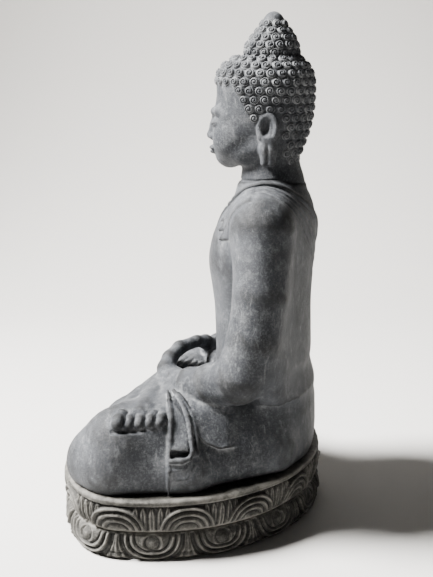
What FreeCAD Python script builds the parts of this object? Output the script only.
"""Seated meditating Buddha on a double-lotus plinth, carved stone built in sections.

Millimetres. +Z is up, the statue faces -Y and its left hand is at +X. The origin is at the centre
of the plinth's footprint, on the underside.

The plinth is two stone courses on a mortar bed, pinned with resin-set stainless dowels. The figure
stands on setting pads over two locating pins, and the head is dowelled and bonded at the neck.
"""
import FreeCAD, Part
import math
import os

V = FreeCAD.Vector

# ---- driving dimensions -------------------------------------------------------------------------
TOTAL_HEIGHT = 1000.0

PLINTH_HALF_WIDTH = 346.0        # of the waist line between the two courses
PLINTH_SPLIT_Y = -80.0           # widest line of the plan, where its two half ellipses meet
PLINTH_BACK_REACH = 331.0        # from the widest line to the back
PLINTH_FRONT_REACH = 171.0       # from the widest line to the front
LOWER_COURSE_TOP = 52.0
BED_THICKNESS = 3.0
BED_INSET = 7.0                  # how far the mortar stays back from the waist line
PLINTH_TOP = 118.0
FILLET_BAND = 11.0               # plain band round the plinth's top edge
RIM_BULGE = 6.0                  # how far the petals and the band stand out from the waist
FOOT_BULGE = 6.0                 # how far the lower petals stand out from the waist

PAD_THICKNESS = 2.0
PAD_RADIUS = 22.0
PAD_PLACES = [(210.0, -100.0), (-210.0, -100.0), (105.0, 150.0), (-105.0, 150.0)]
SEAT_Z = PLINTH_TOP + PAD_THICKNESS

LAP_BASE_HEIGHT = 44.0

NECK_JOINT_Z = 652.0
NECK_Y = 150.0
NECK_RADIUS = 55.0
NECK_BED_THICKNESS = 2.0
NECK_BED_RADIUS = 52.0
NECK_SEAT_RADIUS = 64.0          # of the seat sunk in the collar that the head stands in
HEAD_NECK_TOP = 760.0            # where the head's own neck ends, inside the skull

ANCHOR_SPACING_X = 400.0
ANCHOR_SPACING_Y = 240.0
ANCHOR_BORE_RADIUS = 5.1         # minor diameter of an M12 thread
ANCHOR_SOCKET_RADIUS = 9.0
ANCHOR_SOCKET_LENGTH = 40.0
ANCHOR_BORE_DEPTH = 34.0

COURSE_DOWEL_RADIUS = 8.0
COURSE_DOWEL_BOTTOM = 16.0
COURSE_DOWEL_TOP = 92.0
COURSE_DOWEL_PLACES = [(250.0, -120.0), (-250.0, -120.0), (180.0, 110.0), (-180.0, 110.0)]

PIN_RADIUS = 10.0
PIN_BOTTOM = 68.0
PIN_TOP = 180.0
PIN_PLACES = [(110.0, 40.0), (-110.0, 40.0)]
SLEEVE_BORE_GAP = 0.4            # radial play between a locating pin and its sleeve
SLEEVE_WALL = 2.0
SLEEVE_HEADROOM = 6.0            # from the pin's tip to the blind end of its hole

NECK_DOWEL_RADIUS = 10.0
NECK_DOWEL_BOTTOM = 582.0
NECK_DOWEL_TOP = 722.0

RESIN_WALL = 2.0


# ---- shape helpers ------------------------------------------------------------------------------
def plan_wire(offset, z):
    """The plinth's outline at height z, moved outwards by offset."""
    half_width = PLINTH_HALF_WIDTH + offset
    centre = V(0, PLINTH_SPLIT_Y, z)
    back = Part.Ellipse(centre, half_width, PLINTH_BACK_REACH + offset)
    front = Part.Ellipse(centre, half_width, PLINTH_FRONT_REACH + offset)
    back_edge = Part.ArcOfEllipse(back, 0, math.pi).toShape()
    front_edge = Part.ArcOfEllipse(front, math.pi, 2 * math.pi).toShape()
    return Part.Wire([back_edge, front_edge])


def plan_loft(profile):
    """A solid through the plinth outlines in profile, a list of (height, offset)."""
    wires = [plan_wire(offset, z) for z, offset in profile]
    return Part.makeLoft(wires, True, True)


def oval_wire(z, half_width, front_y, back_y):
    """A closed ellipse at height z, wider than it is deep or the other way round."""
    half_depth = (back_y - front_y) / 2
    centre = V(0, (front_y + back_y) / 2, z)
    if half_width >= half_depth:
        tip = centre + V(half_width, 0, 0)
        side = centre + V(0, half_depth, 0)
    else:
        tip = centre + V(0, half_depth, 0)
        side = centre + V(-half_width, 0, 0)
    edge = Part.Ellipse(tip, side, centre).toShape()
    return Part.Wire([edge])


def oval_loft(sections):
    return Part.makeLoft([oval_wire(*section) for section in sections], True, True)


def cylinder(x, y, bottom, top, radius):
    return Part.makeCylinder(radius, top - bottom, V(x, y, bottom))


def tube(x, y, bottom, top, inner, outer):
    return cylinder(x, y, bottom, top, outer).cut(cylinder(x, y, bottom, top, inner))


def limb(start, end, start_radius, end_radius):
    """A tapered bar with round ends, as one turned solid."""
    axis = end - start
    length = axis.Length
    lean = math.asin((start_radius - end_radius) / length)
    half = (math.pi / 2 + lean) / 2

    def on_ball(height, radius, angle):
        return V(radius * math.cos(angle), 0, height + radius * math.sin(angle))

    foot = on_ball(0, start_radius, -math.pi / 2)
    foot_mid = on_ball(0, start_radius, lean - half)
    foot_end = on_ball(0, start_radius, lean)
    tip_start = on_ball(length, end_radius, lean)
    tip_mid = on_ball(length, end_radius, (lean + math.pi / 2) / 2)
    tip = on_ball(length, end_radius, math.pi / 2)
    edges = [
        Part.Arc(foot, foot_mid, foot_end).toShape(),
        Part.LineSegment(foot_end, tip_start).toShape(),
        Part.Arc(tip_start, tip_mid, tip).toShape(),
        Part.LineSegment(tip, foot).toShape(),
    ]
    solid = Part.Face(Part.Wire(edges)).revolve(V(0, 0, 0), V(0, 0, 1), 360)
    turn = FreeCAD.Rotation(V(0, 0, 1), axis)
    solid.Placement = FreeCAD.Placement(start, turn)
    return solid


def ellipsoid(centre, radii):
    matrix = FreeCAD.Matrix()
    matrix.scale(radii)
    ball = Part.makeSphere(1.0).transformGeometry(matrix)
    ball.translate(centre)
    return ball


def mirrored(shape):
    return shape.mirror(V(0, 0, 0), V(1, 0, 0))


def fuse_all(shapes):
    whole = shapes[0]
    for shape in shapes[1:]:
        whole = whole.fuse(shape)
    return whole


def save(name, shape):
    shape.exportStep("parts/" + name + ".step")


# ---- plinth -------------------------------------------------------------------------------------
def anchor_places():
    half_x = ANCHOR_SPACING_X / 2
    half_y = ANCHOR_SPACING_Y / 2
    return [(x, y) for x in (-half_x, half_x) for y in (-half_y, half_y)]


def lower_course():
    profile = [
        (0.0, FOOT_BULGE - 12.0),
        (7.0, FOOT_BULGE - 2.0),
        (22.0, FOOT_BULGE),
        (38.0, FOOT_BULGE - 3.0),
        (LOWER_COURSE_TOP, 0.0),
    ]
    stone = plan_loft(profile)
    for x, y in anchor_places():
        stone = stone.cut(cylinder(x, y, 0, ANCHOR_SOCKET_LENGTH, ANCHOR_SOCKET_RADIUS))
    for x, y in COURSE_DOWEL_PLACES:
        radius = COURSE_DOWEL_RADIUS + RESIN_WALL
        stone = stone.cut(cylinder(x, y, COURSE_DOWEL_BOTTOM - RESIN_WALL, LOWER_COURSE_TOP, radius))
    return stone


def upper_course():
    profile = [
        (LOWER_COURSE_TOP + BED_THICKNESS, 0.0),
        (72.0, RIM_BULGE - 3.0),
        (88.0, RIM_BULGE),
        (PLINTH_TOP - FILLET_BAND, RIM_BULGE - 2.0),
        (PLINTH_TOP - FILLET_BAND + 2.0, RIM_BULGE),
        (PLINTH_TOP - 3.0, RIM_BULGE),
        (PLINTH_TOP, RIM_BULGE - 3.0),
    ]
    stone = plan_loft(profile)
    bottom = LOWER_COURSE_TOP + BED_THICKNESS
    for x, y in COURSE_DOWEL_PLACES:
        radius = COURSE_DOWEL_RADIUS + RESIN_WALL
        stone = stone.cut(cylinder(x, y, bottom, COURSE_DOWEL_TOP + RESIN_WALL, radius))
    for x, y in PIN_PLACES:
        stone = stone.cut(cylinder(x, y, PIN_BOTTOM - RESIN_WALL, PLINTH_TOP, PIN_RADIUS + RESIN_WALL))
    return stone


def mortar_bed():
    bed_top = LOWER_COURSE_TOP + BED_THICKNESS
    bed = plan_loft([(LOWER_COURSE_TOP, -BED_INSET), (bed_top, -BED_INSET)])
    for x, y in COURSE_DOWEL_PLACES:
        radius = COURSE_DOWEL_RADIUS + RESIN_WALL
        bed = bed.cut(cylinder(x, y, LOWER_COURSE_TOP, bed_top, radius))
    return bed


def resin_cup(x, y, bottom, top, radius):
    """Resin round a dowel and under its lower end, up to the mouth of the hole."""
    outer = cylinder(x, y, bottom - RESIN_WALL, top, radius + RESIN_WALL)
    return outer.cut(cylinder(x, y, bottom, top, radius))


def full_resin(x, y, bottom, top, radius):
    """Resin that wraps a dowel and both its ends."""
    outer = cylinder(x, y, bottom - RESIN_WALL, top + RESIN_WALL, radius + RESIN_WALL)
    return outer.cut(cylinder(x, y, bottom, top, radius))


def anchor_socket(x, y):
    body = cylinder(x, y, 0, ANCHOR_SOCKET_LENGTH, ANCHOR_SOCKET_RADIUS)
    return body.cut(cylinder(x, y, 0, ANCHOR_BORE_DEPTH, ANCHOR_BORE_RADIUS))


# ---- figure -------------------------------------------------------------------------------------
def torso():
    """Hips, waist, chest and shoulders' base: (height, half width, front Y, back Y)."""
    return oval_loft([
        (SEAT_Z, 163.0, -8.0, 244.0),
        (165.0, 174.0, -2.0, 248.0),
        (215.0, 170.0, 18.0, 247.0),
        (260.0, 154.0, 40.0, 240.0),
        (310.0, 142.0, 51.0, 230.0),
        (425.0, 138.0, 47.0, 227.0),
        (520.0, 161.0, 37.0, 233.0),
        (565.0, 169.0, 45.0, 236.0),
        (600.0, 158.0, 60.0, 234.0),
        (632.0, 122.0, 78.0, 226.0),
        (662.0, 80.0, 92.0, 214.0),
    ])


def robe_back():
    """The robe that webs the upper arms to the back."""
    return oval_loft([
        (250.0, 182.0, 120.0, 233.0),
        (330.0, 210.0, 112.0, 229.0),
        (450.0, 211.0, 116.0, 227.0),
        (580.0, 203.0, 114.0, 231.0),
        (632.0, 130.0, 126.0, 224.0),
    ])


def yoke():
    """The slope from the neck to the left shoulder."""
    return limb(V(24, 158, 618), V(150, 160, 604), 52, 54)


def arm():
    """The left shoulder, upper arm and forearm."""
    shoulder = V(162, 161, 601)
    middle = V(196, 157, 450)
    elbow = V(217, 125, 320)
    wrist = V(116, -16, 271)
    return [
        limb(shoulder, middle, 56, 49),
        limb(middle, elbow, 47, 44),
        limb(elbow, wrist, 46.5, 29),
    ]


def thighs():
    """The left thigh, and the right one, whose knee lies a little lower and further back."""
    left = limb(V(112, 126, 198), V(264, -90, 194), 86, 76)
    right = limb(V(-112, 126, 196), V(-256, -74, 182), 84, 70)
    return [left, right]


def shins():
    """The left shin, and the right shin that crosses over it to the left thigh."""
    left_shin = limb(V(250, -138, 160), V(40, -168, 138), 58, 42)
    right_knee = V(-238, -102, 150)
    right_middle = V(20, -152, 146)
    right_ankle = V(124, -100, 214)
    return [left_shin, limb(right_knee, right_middle, 54, 43), limb(right_middle, right_ankle, 41, 33)]


def lap_base():
    """The drapery round the seat, as a straight-sided slab under the legs."""
    half = [(0, -206), (200, -200), (292, -180), (338, -128), (338, -90), (312, -14), (262, 66)]
    half += [(184, 180), (150, 218), (90, 240), (0, 247)]
    other = [(-x, y) for x, y in reversed(half[1:-1])]
    ring = half + other + half[:1]
    wire = Part.makePolygon([V(x, y, SEAT_Z) for x, y in ring])
    return Part.Face(wire).extrude(V(0, 0, LAP_BASE_HEIGHT))


def foot():
    """The right foot, sole up on the left thigh, as three bars from the heel to the toes."""
    return [
        limb(V(96, -90, 232), V(286, -90, 248), 28, 18),
        limb(V(98, -54, 252), V(280, -52, 251), 32, 19),
        limb(V(104, -14, 262), V(264, -12, 249), 28, 15),
    ]


def hands():
    """The right hand laid in the left one, thumbs raised and meeting over the palms."""
    palms = limb(V(60, -20, 258), V(-60, -20, 256), 44, 42)
    left_thumb = limb(V(80, -40, 288), V(4, -10, 324), 28, 16)
    right_thumb = limb(V(-76, 16, 288), V(-4, -6, 322), 25, 14.5)
    return [palms, left_thumb, right_thumb]


def sash():
    """The pleated end of the robe, hanging from the left wrist over the thigh."""
    outline = [(170, 292), (222, 284), (254, 268), (277, 248), (294, 221), (309, 188), (318, 166)]
    outline += [(320, SEAT_Z), (280, SEAT_Z), (240, 180), (170, 230), (170, 292)]
    face = Part.Face(Part.makePolygon([V(x, 12, z) for x, z in outline]))
    return face.extrude(V(-20, 42, 0))


def neck_hole(shape):
    radius = NECK_DOWEL_RADIUS + RESIN_WALL
    bottom = NECK_DOWEL_BOTTOM - RESIN_WALL
    return shape.cut(cylinder(0, NECK_Y, bottom, NECK_DOWEL_TOP + RESIN_WALL, radius))


def figure_body():
    sides = [yoke()] + arm()
    solids = [torso(), robe_back()] + sides + [mirrored(s) for s in sides]
    solids += thighs() + shins() + foot() + hands() + [sash(), lap_base()]
    body = fuse_all(solids)
    below = Part.makeBox(1000, 1000, SEAT_Z, V(-500, -500, 0))
    neck_seat = cylinder(0, NECK_Y, NECK_JOINT_Z, TOTAL_HEIGHT, NECK_SEAT_RADIUS)
    body = body.cut(below).cut(neck_seat)
    body = neck_hole(body)
    for x, y in PIN_PLACES:
        radius = PIN_RADIUS + SLEEVE_BORE_GAP + SLEEVE_WALL
        body = body.cut(cylinder(x, y, SEAT_Z, PIN_TOP + SLEEVE_HEADROOM, radius))
    return body


def head():
    neck = cylinder(0, NECK_Y, NECK_JOINT_Z + NECK_BED_THICKNESS, HEAD_NECK_TOP, NECK_RADIUS)
    skull = ellipsoid(V(0, 141, 822), V(88, 102, 122))
    nape = ellipsoid(V(0, 163, 762), V(77, 68, 84))
    face = ellipsoid(V(0, 112, 758), V(74, 79, 90))
    ushnisha = oval_loft([
        (900.0, 58.0, 96.0, 212.0),
        (925.0, 54.0, 100.0, 208.0),
        (944.0, 46.0, 107.0, 202.0),
        (964.0, 37.0, 117.0, 194.0),
        (983.0, 24.0, 130.0, 179.0),
        (TOTAL_HEIGHT, 4.0, 151.0, 159.0),
    ])
    ear = limb(V(82, 156, 824), V(67, 160, 700), 19, 13)
    whole = fuse_all([neck, skull, nape, face, ushnisha, ear, mirrored(ear)])
    return neck_hole(whole)


# ---- build --------------------------------------------------------------------------------------
def save_all(name, shapes):
    save(name, Part.Compound(shapes))


def main():
    os.makedirs("parts", exist_ok=True)

    save("lotus_plinth_lower", lower_course())
    save("lotus_plinth_upper", upper_course())
    save("course_mortar_bed", mortar_bed())

    dowel = (COURSE_DOWEL_BOTTOM, COURSE_DOWEL_TOP, COURSE_DOWEL_RADIUS)
    save_all("course_dowels", [cylinder(x, y, *dowel) for x, y in COURSE_DOWEL_PLACES])
    save_all("course_dowel_resin", [full_resin(x, y, *dowel) for x, y in COURSE_DOWEL_PLACES])

    pin = (PIN_BOTTOM, PIN_TOP, PIN_RADIUS)
    pin_in_plinth = (PIN_BOTTOM, PLINTH_TOP, PIN_RADIUS)
    save_all("locating_pins", [cylinder(x, y, *pin) for x, y in PIN_PLACES])
    save_all("locating_pin_resin", [resin_cup(x, y, *pin_in_plinth) for x, y in PIN_PLACES])

    save_all("anchor_sockets", [anchor_socket(x, y) for x, y in anchor_places()])
    save_all("setting_pads", [cylinder(x, y, PLINTH_TOP, SEAT_Z, PAD_RADIUS) for x, y in PAD_PLACES])

    save("figure_body", figure_body())
    sleeve_bore = PIN_RADIUS + SLEEVE_BORE_GAP
    sleeve = (SEAT_Z, PIN_TOP + SLEEVE_HEADROOM, sleeve_bore, sleeve_bore + SLEEVE_WALL)
    save_all("pin_sleeves", [tube(x, y, *sleeve) for x, y in PIN_PLACES])

    save("head", head())
    bed_span = (NECK_JOINT_Z, NECK_JOINT_Z + NECK_BED_THICKNESS)
    save("neck_joint_bed", tube(0, NECK_Y, *bed_span, NECK_DOWEL_RADIUS + RESIN_WALL, NECK_BED_RADIUS))
    neck_dowel = (NECK_DOWEL_BOTTOM, NECK_DOWEL_TOP, NECK_DOWEL_RADIUS)
    save("neck_dowel", cylinder(0, NECK_Y, *neck_dowel))
    save("neck_dowel_resin", full_resin(0, NECK_Y, *neck_dowel))


main()
